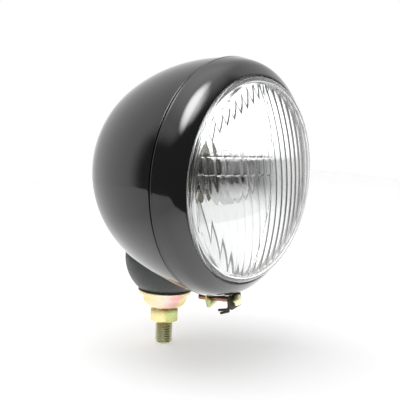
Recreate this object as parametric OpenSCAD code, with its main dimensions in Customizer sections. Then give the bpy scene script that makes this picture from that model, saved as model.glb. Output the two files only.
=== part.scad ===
// Round stud-mounted work lamp for a tractor.
// The origin is the centre of the nut's lower face, on the stud's axis. The lamp faces -Y and +Z is up.
// Profiles are drawn as [distance from the lamp's axis, distance forward of the seam].

/* [Place of the lamp on its stud] */
// Distance from the stud's axis forward to the seam between bowl and rim
seam_out = 50; // [47:0.5:53]

/* [Bowl] */
// Outside diameter of the bowl at the seam
bowl_d = 158; // [154:1:162]
// Depth of the bowl behind the seam
bowl_depth = 96; // [90:1:102]
// How much smaller the radius of the rounded tail is than the bowl's own radius
tail_less = 6.5; // [5:0.5:9]
// Thickness of the drawn steel sheet
bowl_t = 1; // [0.8:0.1:1.4]
// How far the bowl's lip reaches forward inside the rim
lip_len = 6.4; // [5.4:0.2:7]
// Radius of the rolled edge of the lip
lip_roll_r = 1.2; // [1:0.1:1.4]

/* [Rim] */
// How far the rim's rear edge stands out beyond the bowl
rim_step = 1; // [0.8:0.1:1.4]
// Thickness of the rim's sheet
rim_t = 0.9; // [0.7:0.1:1]
// Gap between the inside of the rim and the bowl's lip
rim_gap = 0.3; // [0.2:0.1:0.4]
// Distance of the rim's front edge forward of the seam
rim_front = 19.6; // [19:0.2:21]
// Distance of the centre of the rounded shoulder forward of the seam
shoulder_f = 9.3; // [8.9:0.1:9.8]
// Radius of the rounded shoulder
shoulder_r = 6.5; // [6:0.1:7]
// How much smaller the rim's largest radius at the shoulder is than at its rear edge
shoulder_in = 1.7; // [1.4:0.1:2]
// Width of the rim's face round the opening, measured on the radius
rim_face = 12; // [11.5:0.1:12.5]
// Radius of the rolled edge round the opening
rim_roll_r = 1.1; // [1:0.1:1.3]

/* [Lens] */
// Thickness of the pressed glass
lens_t = 3.6; // [3:0.1:4]
// How far the glass reaches behind the rolled edge of the rim, on the radius
lens_lap = 2.4; // [1.8:0.1:2.6]
// How far the front of the glass edge lies behind the rim's front
lens_drop = 3; // [2.8:0.1:3.4]
// Height of the straight wall of the glass between its flange and its rounded shoulder
lens_wall = 3; // [2:0.2:4]
// Radius of the rounded shoulder of the glass
lens_shoulder_r = 5; // [4.4:0.2:7]
// Radius of the domed face
dome_r = 170; // [150:5:200]
// Gap between the raised glass and the rim's opening
lens_gap = 0.3; // [0.2:0.1:1]
// Width of one moulded flute
flute_w = 6.8; // [6:0.2:10]
// Depth of a flute
flute_depth = 0.4; // [0.3:0.05:0.8]
// Lean of the flutes above the dividing lines and on the undivided half
flute_lean = 7; // [0:1:10]
// Lean of the flutes between the dividing lines
mid_lean = 4; // [0:1:10]
// Lean of the flutes under the dividing lines
low_lean = 16; // [0:1:20]
// Slope of the dividing lines
line_slope = 3; // [0:1:5]
// Width of the clear border of the glass between the flutes and the rim's opening
clear_border = 6; // [5.5:0.5:12]
// Where the upper dividing line of the pattern lies above the lamp's axis
pattern_top = 16.2; // [12:0.2:18]
// Where the lower dividing line of the pattern lies above the lamp's axis
pattern_low = 5; // [-3:0.5:6]
// Thickness of the rubber round the edge of the glass
gasket_t = 1.3; // [1:0.1:1.3]

/* [Reflector] */
// How much smaller the radius of the mirror's mouth is than the rim's opening
mirror_in = 5.5; // [5:0.5:8]
// Focal length of the mirror
focal_len = 25; // [24:0.5:27]
// Thickness of the mirror's sheet
mirror_t = 0.9; // [0.7:0.1:1.1]
// Radius of the hole for the bulb
bulb_hole_r = 20.6; // [20:0.1:21.4]
// Thickness of the wire of the retaining clips
clip_wire = 1.6; // [1.4:0.1:1.8]
// Number of retaining clips
clips = 4; // [4:2:6]

/* [Bulb] */
// Radius of the glass globe
globe_r = 18.5; // [17:0.5:19]
// Thickness of the globe's glass
globe_t = 1; // [0.8:0.1:1.2]
// Radius of the globe's neck
neck_r = 13; // [12:0.5:14]
// Radius of the bulb's locating flange
flange_r = 22.5; // [22:0.1:23]
// Distance from the flange forward to the main filament
light_len = 28; // [27:0.5:29]
// Length of the bulb's cap behind the flange
cap_len = 12; // [10:0.5:14]
// Depth of the plug-on terminal socket
socket_len = 16; // [14:1:20]

/* [Cable inlet] */
// Diameter of the cable that the grommet takes
cable_d = 8; // [6:0.5:9]
// Diameter of the hole in the bowl
inlet_hole_d = 15; // [14:0.5:17]
// Diameter of the grommet's flanges
grommet_d = 20; // [19:0.5:22]
// Angle of the inlet below the rear end of the lamp's axis
inlet_angle = 24; // [10:1:26]

/* [Ball foot] */
// Outside radius of the ball under the bowl
ball_r = 28.6; // [28:0.2:29.4]
// Gap between the floor of the cup washer and the lowest point of the ball
ball_gap = 5.1; // [4.6:0.1:5.6]
// How far the lowest point of the bowl lies below the ball's centre
bowl_sink = 17; // [16:0.5:18]
// Thickness of the ball's sheet
ball_t = 1.8; // [1.5:0.1:2.2]
// How far the lamp tilts each way on the ball
tilt = 12; // [8:1:12]
// Radius of the hole above the foot that the bolt head goes through
access_r = 17; // [16.5:0.5:18]

/* [Stud clamp] */
// Diameter of the threaded stud
stud_d = 12; // [10:1:12]
// Free length of the stud below the nut
stud_free = 16; // [12:1:30]
// Chamfer at the stud's end
stud_chamfer = 1.2; // [0.8:0.1:1.6]
// Width of the nut and of the bolt head across their flats
nut_af = 19; // [18:0.5:19]
// Height of the nut
nut_h = 10; // [9:0.5:11]
// Turn of the nut about the stud
nut_turn = 37; // [0:1:60]
// How far inside the stud's radius its thread and the nut's thread meet
thread_in = 0.5; // [0.4:0.05:0.6]
// Height of the bolt's hidden head
head_h = 7.5; // [6.5:0.5:7.5]
// Radial clearance of the washers round the stud
washer_gap = 0.5; // [0.4:0.1:0.8]
// Radius of the cup washer's body
cup_r = 15.6; // [15:0.1:16]
// Thickness of the cup washer
cup_t = 1.8; // [1.5:0.1:2]
// Radius of the cup washer's flared lip
lip_r = 19; // [18.5:0.1:19.5]
// Radius of the cup washer's lower corner
cup_corner_r = 7; // [6:0.5:7.5]
// Width of the rubber ring between cup and ball
seal_w = 1; // [0.8:0.1:1.2]
// Radius of the saddle washer inside the ball
saddle_r = 14; // [13:0.5:15]
// Height of the saddle washer's flat above the lowest point inside the ball
saddle_rise = 5; // [4.5:0.1:5.5]
// Thickness of the spring washer under the bolt head
spring_t = 2.2; // [2:0.1:2.4]

/* [Rim clamp] */
// Diameter of the clamp screw
screw_d = 4; // [3.5:0.1:4.2]
// How far the middle of the clamp lies behind the seam
clamp_back = 3; // [2:0.1:4]
// How far the screw's axis lies below the rim at the middle of the clamp
clamp_drop = 3.3; // [3.1:0.1:4]
// Upward slope of the screw towards its head
screw_slope = 5.5; // [5:0.5:6]
// Length of the screw behind the middle of the clamp
screw_tail = 16; // [13:0.5:18]
// Distance of the screw head forward of the middle of the clamp
screw_reach = 13.6; // [13.2:0.1:14]
// Width of the screw head across its flats
screw_af = 7; // [6:0.5:7]
// Height of the screw head
screw_head_h = 2.8; // [2.4:0.1:3.2]
// Distance from the middle of the clamp back to the bracket
bracket_back = 5.4; // [4.5:0.1:6]
// Thickness of the bracket and of the lug
plate_t = 1.6; // [1.4:0.1:1.8]
// Radius of one leg of the split pin
pin_r = 0.9; // [0.7:0.05:1]

/* [Hidden] */
$fn = 96;
touch = 0.1;      // gap left between curved faces that are welded or pressed together
slip = 0.3;       // gap left between curved faces that slide on each other
blend = 0.02;     // how far an arc lies under the line or larger arc that it runs into
far = 400;        // longer than the whole lamp

// The bowl's outline is one large arc that runs into the smaller arc of the tail.
bowl_r = bowl_d / 2;
longer = bowl_depth - bowl_r;
tail_r = bowl_r - tail_less;
tail_c = [0, tail_r - bowl_depth];
side_c = [-longer - longer * longer / (2 * tail_less), 0];
side_r = bowl_r - side_c[0];
join_a = atan2(tail_c[1], -side_c[0]);

// The rim's outline is a rear cone, the rounded shoulder and a front cone that ends in the rolled edge.
rim_r = bowl_r + rim_step;
opening_r = rim_r - rim_face;
ball_h = nut_h + cup_t + ball_gap + ball_r;
axis_h = ball_h + bowl_r - bowl_sink;
clamp_out = seam_out - clamp_back;
clamp_h = axis_h - rim_r - clamp_drop;
shoulder_c = [rim_r - shoulder_in - shoulder_r, shoulder_f];
roll_c = [opening_r + rim_roll_r, rim_front - rim_roll_r];
rim_rear = [rim_r, 0];
rear_a = heading(rim_rear - shoulder_c) + acos(shoulder_r / norm(rim_rear - shoulder_c));
front_a = heading(roll_c - shoulder_c) - acos((shoulder_r - rim_roll_r) / norm(roll_c - shoulder_c));
lip_start = rim_rear - (rim_t + rim_gap) * unit(rear_a);
lip_end = lip_start + lip_len * unit(rear_a + 90);

lens_f = rim_front - lens_drop;
lens_back = lens_f - lens_t;
lens_r = opening_r + lens_lap;
lens_shoulder_c = [opening_r - lens_gap - lens_shoulder_r, lens_f + lens_wall];
dome_c = [0, lens_shoulder_c[1] - sqrt(pow(dome_r - lens_shoulder_r, 2) - pow(lens_shoulder_c[0], 2))];
dome_a = heading(lens_shoulder_c - dome_c);
past_axis_a = 92;
flute_field_r = opening_r - clear_border;

mirror_f = lens_back - gasket_t;
mirror_r = opening_r - mirror_in;
mirror_v = mirror_f - mirror_r * mirror_r / (4 * focal_len);
flange_f = mirror_v + focal_len - light_len;
flange_t = 1.2;
collar_t = 1;
cap_r = 11.9;
cap_back = flange_f - flange_t - cap_len;
contact_len = 7;
socket_r = 14;
terminal_at = 8.5;
terminal_r = 2;
terminal_len = 3.9;
stem_r = 4;
stem_len = 10;
pinch_w = 10;
pinch_out = 12;
pinch_f = flange_f + pinch_out;

stud_r = stud_d / 2;
thread_r = stud_r - thread_in;
cup_edge = 1.2;
cup_top = ball_seat(lip_r - cup_edge);
saddle_top = ball_h - ball_r + ball_t + saddle_rise;
head_z = saddle_top + spring_t;
inlet_out = tail_r - bowl_t;
split_pin_z = screw_reach - plate_t - pin_r - 0.4;
contact_angles = [90, 210, 330];
contact_t = 0.8;
contact_w = 6;
contact_at = 6;

function unit(a) = [cos(a), sin(a)];
function heading(v) = atan2(v[1], v[0]);
function hex_r(across_flats) = across_flats / 2 / cos(30);
function mirror_at(r) = mirror_v + r * r / (4 * focal_len);

// Height at which a face at distance r from the stud's axis just clears the ball.
function ball_seat(r) = ball_h - sqrt(pow(ball_r + slip, 2) - r * r);

// Inside radius of the rim's rounded shoulder.
function inside_shoulder(f) = shoulder_c[0] + sqrt(pow(shoulder_r - rim_t, 2) - pow(f - shoulder_f, 2));

// Frames

// Puts the children on the lamp's axis, with z forward from the seam and y up.
module on_axis() {
    translate([0, -seam_out, axis_h]) rotate([90, 0, 0]) children();
}

// Puts the children on the inlet's axis, which runs out from the centre of the tail's curve.
module on_inlet() {
    on_axis() translate([0, 0, tail_c[1]]) rotate([180 - inlet_angle, 0, 0]) children();
}

// Puts the children on the clamp screw's axis, with z towards its head and y up.
module on_clamp() {
    translate([0, -clamp_out, clamp_h]) rotate([90 - screw_slope, 0, 0]) children();
}

// Flat shapes

module wedge(c, from, to, reach) {
    polygon([c, c + reach * unit(from), c + 1.2 * reach * unit((from + to) / 2), c + reach * unit(to)]);
}

// A slice of a disc.
module slice(c, r, from, to) {
    intersection() {
        translate(c) circle(r);
        wedge(c, from, to, 2 * r);
    }
}

// The positive side of the axis, from far behind the seam to a distance forward of it.
module behind(forward) {
    intersection() {
        children();
        translate([0, -far]) square([far, far + forward]);
    }
}

// Everything inside the bowl's outer face, grown by g and cut off forward of the seam.
module bowl_outline(g, forward = 0) {
    behind(forward) {
        slice(side_c, side_r + g, join_a, 2);
        translate(tail_c) circle(tail_r + g - blend);
    }
}

module bowl_section() {
    n = unit(rear_a);
    difference() {
        bowl_outline(0);
        bowl_outline(-bowl_t, 1);
    }
    polygon([lip_start, lip_end, lip_end - bowl_t * n, lip_start - bowl_t * n]);
    translate(lip_end - (lip_roll_r + blend) * n) circle(lip_roll_r);
}

// Everything inside the rim's outer face, grown by g and carried back behind the seam.
module rim_outline(g, back = 0) {
    rear_n = unit(rear_a);
    front_n = unit(front_a);
    front = roll_c + (rim_roll_r + g - blend) * front_n;
    shoulder = [for (n = [rear_n, front_n]) shoulder_c + (shoulder_r + g) * n];
    polygon([[0, -back], rim_rear + g * rear_n - back * unit(rear_a + 90), shoulder[0], shoulder[1],
        front, [0, front[1]]]);
    translate(shoulder_c) circle(shoulder_r + g - blend);
}

module rim_section() {
    difference() {
        rim_outline(0);
        rim_outline(-rim_t, 1);
        translate([0, -1]) square([roll_c[0], far]);
    }
    translate(roll_c) circle(rim_roll_r);
    translate([opening_r + blend, lens_f]) square([rim_t - blend, roll_c[1] - lens_f]);
}

// Everything behind the front face of the glass, grown by g.
module lens_outline(g, back = 0) {
    intersection() {
        union() {
            translate([0, lens_back - back])
                square([lens_shoulder_c[0] + lens_shoulder_r + g, lens_t + lens_wall + back]);
            translate(lens_shoulder_c) circle(lens_shoulder_r + g - blend);
            slice(dome_c, dome_r + g, dome_a, past_axis_a);
        }
        translate([0, lens_back - back]) square(far);
    }
}

// Pieces of the lamp

module bowl() {
    color("#1c1c1d") difference() {
        on_axis() rotate_extrude() bowl_section();
        on_inlet() cylinder(d = inlet_hole_d, h = 2 * tail_r);
        cylinder(r = access_r, h = axis_h - bowl_r / 2);
    }
}

module foot() {
    color("#3b3f3d") difference() {
        translate([0, 0, ball_h]) rotate_extrude() {
            difference() {
                behind(1) circle(ball_r);
                circle(ball_r - ball_t);
            }
            translate([ball_r - ball_t, 0]) square([ball_t - blend, bowl_r / 2]);
        }
        on_axis() rotate_extrude() bowl_outline(touch);
        slot();
    }
}

// The way that the stud sweeps through the foot as the lamp tilts.
module slot() {
    slot_r = stud_r + washer_gap;
    translate([0, 0, ball_h]) {
        for (side = [-1, 1])
            rotate([side * tilt, 0, 0]) mirror([0, 0, 1]) cylinder(r = slot_r, h = 1.5 * ball_r);
        rotate([90, 0, 90]) linear_extrude(2 * slot_r, center = true)
            wedge([0, 0], -90 - tilt, -90 + tilt, 1.4 * ball_r);
    }
}

module cable_grommet() {
    flange = 2.4;
    corner_cut = 1.6;
    color("#18181a") on_inlet() rotate_extrude() difference() {
        translate([cable_d / 2, inlet_out - flange])
            square([(grommet_d - cable_d) / 2, 2 * flange + bowl_t]);
        intersection() {
            difference() {
                circle(tail_r + touch);
                circle(tail_r - bowl_t - touch);
            }
            translate([inlet_hole_d / 2 - touch, 0]) square([grommet_d, far]);
        }
        translate([grommet_d / 2, inlet_out + bowl_t + flange]) rotate(45) square(corner_cut, center = true);
    }
}

module rim() {
    color("#161617") on_axis() rotate_extrude() rim_section();
}

// A bent strip inside the top of the rim that reaches back under the bowl's lip.
module top_hook() {
    width = 12;
    strip_t = 1;
    rear = -3;
    clear = 1;
    front = lip_end[1] + lip_roll_r + clear;
    under = lip_end[0] - 2 * lip_roll_r - clear;
    top = sqrt(pow(inside_shoulder(front + strip_t), 2) - width * width / 4) - touch;
    color("#8f8a6a") on_axis() rotate([90, 0, 90]) linear_extrude(width, center = true)
        polygon([[top, front], [top, front + strip_t], [under - strip_t, front + strip_t],
            [under - strip_t, rear], [under, rear], [under, front]]);
}

// The plate under the screw head, welded to the bottom of the rim. Its corners count from the screw's axis.
module rim_lug() {
    corners = [[-5.6, 6], [-5.6, -3.6], [-3.4, -6.4], [7, -4.6], [7, 6]];
    color("#33322f") difference() {
        on_clamp() translate([0, 0, screw_reach - plate_t]) linear_extrude(plate_t) difference() {
            polygon(corners);
            circle(screw_d / 2 + slip);
        }
        on_axis() rotate_extrude($fn = 360) rim_outline(touch);
    }
}

// The tapered tongue welded under the bowl, which the screw is threaded into.
module clamp_bracket() {
    corners = [[-6, 8], [-6, -1], [-4.6, -6], [-3, -6.4], [8, -2.6], [8, 8]];
    color("#b9a968") difference() {
        on_clamp() translate([0, 0, -bracket_back - plate_t]) linear_extrude(plate_t) difference() {
            polygon(corners);
            circle(screw_d / 2 + touch / 2);
        }
        on_axis() rotate_extrude($fn = 360) bowl_outline(touch);
    }
}

module clamp_screw() {
    color("#a86f52") on_clamp() difference() {
        union() {
            translate([0, 0, -screw_tail]) cylinder(d = screw_d, h = screw_tail + screw_reach);
            translate([0, 0, screw_reach]) cylinder(r = hex_r(screw_af), h = screw_head_h, $fn = 6);
        }
        translate([0, 0, split_pin_z]) rotate([0, 90, 0])
            cylinder(r = pin_r + touch, h = 3 * screw_d, center = true);
    }
}

// The split pin behind the lug. Its two legs are bent down together and then back, one above the other.
module split_pin() {
    side = -screw_d / 2 - pin_r - 0.6;
    eye_r = 1.4;
    eye_x = screw_d / 2 + 1 + eye_r;
    parting = [side, -4.6, 0.2];
    shank = [[eye_x - eye_r, 0, 0], [side, 0, 0], parting];
    upper = [parting, [side, -6.4, -1.2], [side, -7.3, -8]];
    lower = [parting, [side, -7.6, -0.4], [side, -9.2, -6.4]];
    color("#3a3835") on_clamp() translate([0, 0, split_pin_z]) {
        for (run = [shank, upper, lower]) wire(run, pin_r);
        translate([eye_x, 0, 0]) rotate_extrude() translate([eye_r, 0]) circle(pin_r);
    }
}

// Round wire through a list of points.
module wire(points, r) {
    for (k = [1 : len(points) - 1]) {
        run = points[k] - points[k - 1];
        translate(points[k - 1]) rotate([0, acos(run[2] / norm(run)), atan2(run[1], run[0])])
            cylinder(r = r, h = norm(run));
        translate(points[k]) sphere(r + blend);
    }
}

module lens() {
    color("#dfe6e8", 0.5) on_axis() difference() {
        rotate_extrude() {
            difference() {
                lens_outline(0);
                lens_outline(-lens_t, 1);
            }
            translate([opening_r - lens_gap - lens_t / 2, lens_back])
                square([lens_r - opening_r + lens_gap + lens_t / 2, lens_t]);
        }
        fluted_field();
    }
}

// The flutes run up and down on the inner face, in blocks between the two dividing lines.
// The block on the +X side runs through without dividing lines.
module fluted_field() {
    high = 2 * flute_field_r;
    intersection() {
        cylinder(r = flute_field_r, h = far);
        union() {
            flutes(0, 1, flute_lean, -high, high);
            flutes(-1, 0, flute_lean, pattern_top, high);
            flutes(-1, 0, mid_lean, pattern_low, pattern_top);
            flutes(-1, 0, low_lean, -high, pattern_low);
        }
    }
}

// Leaning flutes between two heights, from the middle to one side or the other.
module flutes(from, to, lean, low, high) {
    count = ceil(flute_field_r / flute_w);
    inner_r = dome_r - lens_t;
    scallop_r = (flute_w * flute_w / 4 + flute_depth * flute_depth) / (2 * flute_depth);
    reach_a = asin(flute_field_r / inner_r) + 1;
    translate([0, 0, dome_c[1]]) intersection() {
        rotate(lean) rotate([0, 90, 0]) rotate_extrude(angle = 2 * reach_a, start = 180 - reach_a)
            for (k = [-count : count - 1]) {
                x = (k + 0.5) * flute_w;
                intersection() {
                    translate([sqrt(inner_r * inner_r - x * x) + flute_depth - scallop_r, x])
                        circle(scallop_r);
                    translate([inner_r / 2, x - flute_w / 2]) square([inner_r, flute_w]);
                }
            }
        rotate(-line_slope) translate([from * far, low, 0]) cube([far, high - low, far]);
    }
}

module lens_gasket() {
    outer = lens_r + gasket_t;
    color("#202022") on_axis() rotate_extrude() {
        translate([opening_r - 1, lens_back - gasket_t]) square([outer - opening_r + 1, gasket_t]);
        translate([lens_r + touch, lens_back]) square([gasket_t - touch, lens_t - gasket_t / 2]);
    }
}

module reflector() {
    steps = 20;
    radii = [for (k = [0 : steps]) bulb_hole_r + (mirror_r - bulb_hole_r) * k / steps];
    inner = [for (r = radii) [r, mirror_at(r)]];
    outer = [for (k = [steps : -1 : 0]) inner[k] - [0, mirror_t]];
    edge = [[lens_r, mirror_f], [lens_r, mirror_f - mirror_t]];
    color("#d8dadb") on_axis() rotate_extrude() polygon(concat(inner, edge, outer));
}

// The pressed ring behind the mirror that locates the bulb.
module bulb_collar() {
    wall = flange_r + 2 * slip;
    front = mirror_at(bulb_hole_r) - mirror_t - touch;
    depth = 7;
    color("#9a9b98") on_axis() rotate_extrude() {
        translate([bulb_hole_r, flange_f]) square([wall + collar_t - bulb_hole_r, front - flange_f]);
        translate([wall, flange_f - depth]) square([collar_t, depth]);
    }
}

// Bowed wires that spring between the rim's shoulder and the back of the mirror's flange.
module lens_clips() {
    back = mirror_f - mirror_t - touch;
    press = mirror_r + 4;
    spread = 9;
    seat_r = inside_shoulder(back) - touch;
    heel = sqrt(seat_r * seat_r - spread * spread) - clip_wire / 2;
    shoulder_x = 5;
    half = [[2, press], [shoulder_x, press + 2], [spread, heel]];
    path = concat([for (k = [2 : -1 : 0]) [-half[k][0], half[k][1]]], half);
    inner = [for (p = path) p - [0, clip_wire / 2]];
    outer = [for (k = [5 : -1 : 0]) path[k] + [0, clip_wire / 2]];
    color("#a7a18c") on_axis() for (k = [0 : clips - 1])
        rotate(360 / clips * (k + 0.5)) translate([0, 0, back - clip_wire])
            linear_extrude(clip_wire) polygon(concat(inner, outer));
}

module bulb_glass() {
    centre = flange_f + light_len + 1;
    color("#e6ebee", 0.4) on_axis() rotate_extrude() behind(far) difference() {
        union() {
            translate([0, centre]) circle(globe_r);
            translate([0, flange_f + touch]) square([neck_r, centre - flange_f - touch]);
        }
        translate([0, centre]) circle(globe_r - globe_t);
        translate([-1, flange_f]) square([neck_r - globe_t + 1, centre - flange_f]);
    }
}

module bulb_flange() {
    skirt_t = 0.8;
    skirt_len = 5;
    color("#b9b39c") on_axis() rotate_extrude() {
        translate([neck_r - globe_t, flange_f - flange_t])
            square([flange_r - neck_r + globe_t, flange_t]);
        translate([neck_r + touch, flange_f]) square([skirt_t, skirt_len]);
    }
}

// The glass foot inside the neck, with the pinch that the supports come through.
module bulb_stem() {
    skirt_r = neck_r - globe_t - touch;
    pinch_t = 3;
    pinch_len = 6;
    color("#d5dcdf", 0.6) on_axis() {
        translate([0, 0, flange_f - flange_t]) rotate_extrude()
            polygon([[0, 0], [skirt_r, 0], [skirt_r, flange_t], [stem_r, stem_r], [stem_r, stem_len],
                [0, stem_len]]);
        translate([-pinch_w / 2, -pinch_t / 2, pinch_f - pinch_len]) cube([pinch_w, pinch_t, pinch_len]);
    }
}

// Two coiled filaments on their supports, with the shield under the forward one.
module bulb_filaments() {
    foot_f = pinch_f + touch;
    main_drop = 1.5;
    dip_rise = 4;
    dip_out = 7;
    main = [-main_drop, flange_f + light_len];
    dip = main + [dip_rise, dip_out];
    reach = 4.5;
    support_r = 0.45;
    coil_r = 0.7;
    shield_r = 5;
    shield_t = 0.5;
    shield_len = 8;
    shield_in = 1.4;
    shield_f = main[1] + shield_len / 4;
    color("#8b8d8f") on_axis() {
        for (x = [-reach, reach])
            wire([[x, 0, foot_f], [x, main[0], main[1]], [x, dip[0], dip[1]]], support_r);
        for (at = [main, dip])
            translate([0, at[0], at[1]]) rotate([0, 90, 0])
                cylinder(r = coil_r, h = 2 * reach, center = true);
        wire([[0, -2 * support_r, foot_f], [0, shield_in - shield_r, shield_f]], support_r);
        translate([0, main_drop, shield_f]) rotate_extrude(angle = 180, start = 180)
            translate([shield_r, 0]) square([shield_t, shield_len]);
    }
}

module bulb_cap() {
    color("#b59a5b") on_axis() translate([0, 0, cap_back]) cylinder(r = cap_r, h = cap_len);
}

// Three flat contact tongues behind the cap.
module bulb_contacts() {
    color("#b8894a") on_axis() for (a = contact_angles) rotate(a)
        translate([contact_at, -contact_w / 2, cap_back - contact_len])
            cube([contact_t, contact_w, contact_len]);
}

// The spring ring that holds the bulb's flange against the collar.
module bulb_spring() {
    ring_w = 3.3;
    ring_t = 1;
    tongue_w = 6;
    tongue_len = 5;
    color("#77797a") on_axis() translate([0, 0, flange_f - flange_t - ring_t]) {
        rotate_extrude() translate([flange_r + slip - ring_w, 0]) square([ring_w, ring_t]);
        for (k = [0 : 2]) rotate(120 * k + 30)
            translate([flange_r - tongue_len, -tongue_w / 2, 0]) cube([tongue_len / 2, tongue_w, ring_t]);
    }
}

// The moulded socket that plugs over the contacts.
module bulb_socket() {
    step = 2;
    color("#26262a") on_axis() translate([0, 0, cap_back - touch - socket_len]) difference() {
        union() {
            cylinder(r = socket_r, h = socket_len);
            translate([0, 0, -step]) cylinder(r = socket_r - step, h = step);
        }
        for (a = contact_angles) rotate(a) {
            translate([contact_at - touch, -contact_w / 2 - touch, socket_len - contact_len - 1])
                cube([contact_t + 2 * touch, contact_w + 2 * touch, contact_len + 2]);
            translate([terminal_at, 0, -step - 1])
                cylinder(r = terminal_r + touch, h = step + 1 + terminal_len + touch);
        }
    }
}

module socket_terminals() {
    notch_w = 0.8;
    color("#c09a4e") on_axis() for (a = contact_angles)
        rotate(a) translate([terminal_at, 0, cap_back - touch - socket_len]) difference() {
            cylinder(r = terminal_r, h = terminal_len);
            translate([-far, -notch_w / 2, -1]) cube([2 * far, notch_w, 2]);
        }
}

// Pieces of the ball clamp

module cup_washer() {
    inner_r = stud_r + washer_gap;
    corner = [cup_r - cup_corner_r, nut_h + cup_corner_r];
    neck = [cup_r + 0.4, corner[1] + 2.2];
    lip = [lip_r, cup_top];
    lip_h = 1.6;
    color("#e0cf8a") rotate_extrude() {
        translate([inner_r, nut_h]) square([corner[0] + blend - inner_r, cup_t]);
        difference() {
            slice(corner, cup_corner_r, -90, 0);
            translate(corner) circle(cup_corner_r - cup_t);
        }
        polygon([[cup_r, corner[1] - blend], neck, lip - [0, lip_h], lip, lip - [cup_edge, 0],
            neck - [cup_t, 0], [cup_r - cup_t, corner[1] - blend]]);
    }
}

// The thin rubber ring in the cup's mouth that the ball beds on.
module cup_seal() {
    outer = lip_r - 0.1;
    color("#0e0e0f") rotate_extrude()
        polygon([[outer - seal_w, cup_top], [outer, cup_top], [outer, ball_seat(outer)]]);
}

module saddle_washer() {
    color("#a9a48b") translate([0, 0, ball_h]) rotate_extrude() intersection() {
        circle(ball_r - ball_t - slip);
        translate([stud_r + washer_gap, -ball_r])
            square([saddle_r - stud_r - washer_gap, saddle_top - ball_h + ball_r]);
    }
}

module spring_washer() {
    section_w = 4;
    gap = 1.2;
    inner_r = stud_r + washer_gap / 2;
    color("#55585a") translate([0, 0, saddle_top]) difference() {
        cylinder(r = inner_r + section_w, h = spring_t);
        translate([0, 0, -1]) cylinder(r = inner_r, h = spring_t + 2);
        rotate(20) translate([0, -gap / 2, -1]) cube([2 * stud_r, gap, spring_t + 2]);
    }
}

module clamp_bolt() {
    color("#85845f") {
        translate([0, 0, -stud_free]) cylinder(r1 = stud_r - stud_chamfer, r2 = stud_r, h = stud_chamfer);
        translate([0, 0, stud_chamfer - stud_free]) cylinder(r = stud_r, h = stud_free - stud_chamfer);
        cylinder(r = thread_r, h = nut_h);
        translate([0, 0, nut_h]) cylinder(r = stud_r, h = head_z - nut_h);
        translate([0, 0, head_z]) hex_block(nut_af, head_h, false);
    }
}

module hex_nut() {
    bore_r = thread_r + touch / 2;
    countersink = stud_r + touch - bore_r;
    color("#e3cf7e") difference() {
        rotate(nut_turn) hex_block(nut_af, nut_h, true);
        translate([0, 0, -1]) cylinder(r = bore_r, h = nut_h + 2);
        for (end = [0, 1])
            translate([0, 0, end * nut_h]) mirror([0, 0, end]) translate([0, 0, -1])
                cylinder(r1 = bore_r + countersink + 1, r2 = bore_r, h = countersink + 1);
    }
}

// A hexagon with its top corners turned off, and its lower corners too where both is true.
module hex_block(across_flats, h, both) {
    corner = hex_r(across_flats);
    drop = (corner - across_flats / 2) * tan(30) + 0.4;
    face_r = corner - drop / tan(30);
    intersection() {
        cylinder(r = corner, h = h, $fn = 6);
        rotate_extrude() polygon([[0, 0], [both ? face_r : corner, 0], [corner, both ? drop : 0],
            [corner, h - drop], [face_r, h], [0, h]]);
    }
}

bowl();
foot();
cable_grommet();
rim();
top_hook();
rim_lug();
clamp_bracket();
clamp_screw();
split_pin();
lens();
lens_gasket();
reflector();
bulb_collar();
lens_clips();
bulb_glass();
bulb_flange();
bulb_stem();
bulb_filaments();
bulb_cap();
bulb_contacts();
bulb_spring();
bulb_socket();
socket_terminals();
cup_washer();
cup_seal();
saddle_washer();
spring_washer();
clamp_bolt();
hex_nut();
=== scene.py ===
# %% [markdown]
# A stud-mounted work lamp for a tractor.
# The lamp is a deep-drawn steel bowl with a wide front ring, a pressed and fluted glass, an aluminised
# reflector with its bulb, and a ball foot that is clamped in a cup on a threaded stud.
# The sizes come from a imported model, which is loaded first. Each piece is then remade or finished here
# on top of it, so a good way to read this file is one cell at a time, from the camera to the last screw.

# %% Load the model
import math

import bmesh
import bpy
from mathutils import Matrix, Vector


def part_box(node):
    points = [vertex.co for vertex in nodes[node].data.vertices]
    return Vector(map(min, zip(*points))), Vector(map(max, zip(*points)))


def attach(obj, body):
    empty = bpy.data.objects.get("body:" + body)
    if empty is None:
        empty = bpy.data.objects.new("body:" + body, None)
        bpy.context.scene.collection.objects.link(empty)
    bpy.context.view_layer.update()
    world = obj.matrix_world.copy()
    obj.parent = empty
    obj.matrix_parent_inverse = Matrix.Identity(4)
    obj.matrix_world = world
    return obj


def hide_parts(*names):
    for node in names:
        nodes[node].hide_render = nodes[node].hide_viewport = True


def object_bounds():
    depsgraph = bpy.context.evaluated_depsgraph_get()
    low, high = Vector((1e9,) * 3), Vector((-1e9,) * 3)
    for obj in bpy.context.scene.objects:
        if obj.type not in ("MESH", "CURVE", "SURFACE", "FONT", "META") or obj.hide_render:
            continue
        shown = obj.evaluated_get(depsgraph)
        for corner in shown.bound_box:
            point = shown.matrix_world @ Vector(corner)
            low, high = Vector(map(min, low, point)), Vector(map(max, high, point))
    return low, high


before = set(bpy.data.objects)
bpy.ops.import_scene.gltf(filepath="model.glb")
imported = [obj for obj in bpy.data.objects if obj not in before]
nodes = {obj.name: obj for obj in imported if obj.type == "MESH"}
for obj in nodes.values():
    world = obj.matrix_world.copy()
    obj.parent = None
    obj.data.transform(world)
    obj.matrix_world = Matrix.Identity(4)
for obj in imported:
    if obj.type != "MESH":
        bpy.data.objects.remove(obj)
cad_low, cad_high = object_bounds()
scene = bpy.context.scene
print("model box in mm:", [round(1000 * x) for x in cad_high - cad_low])

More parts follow.
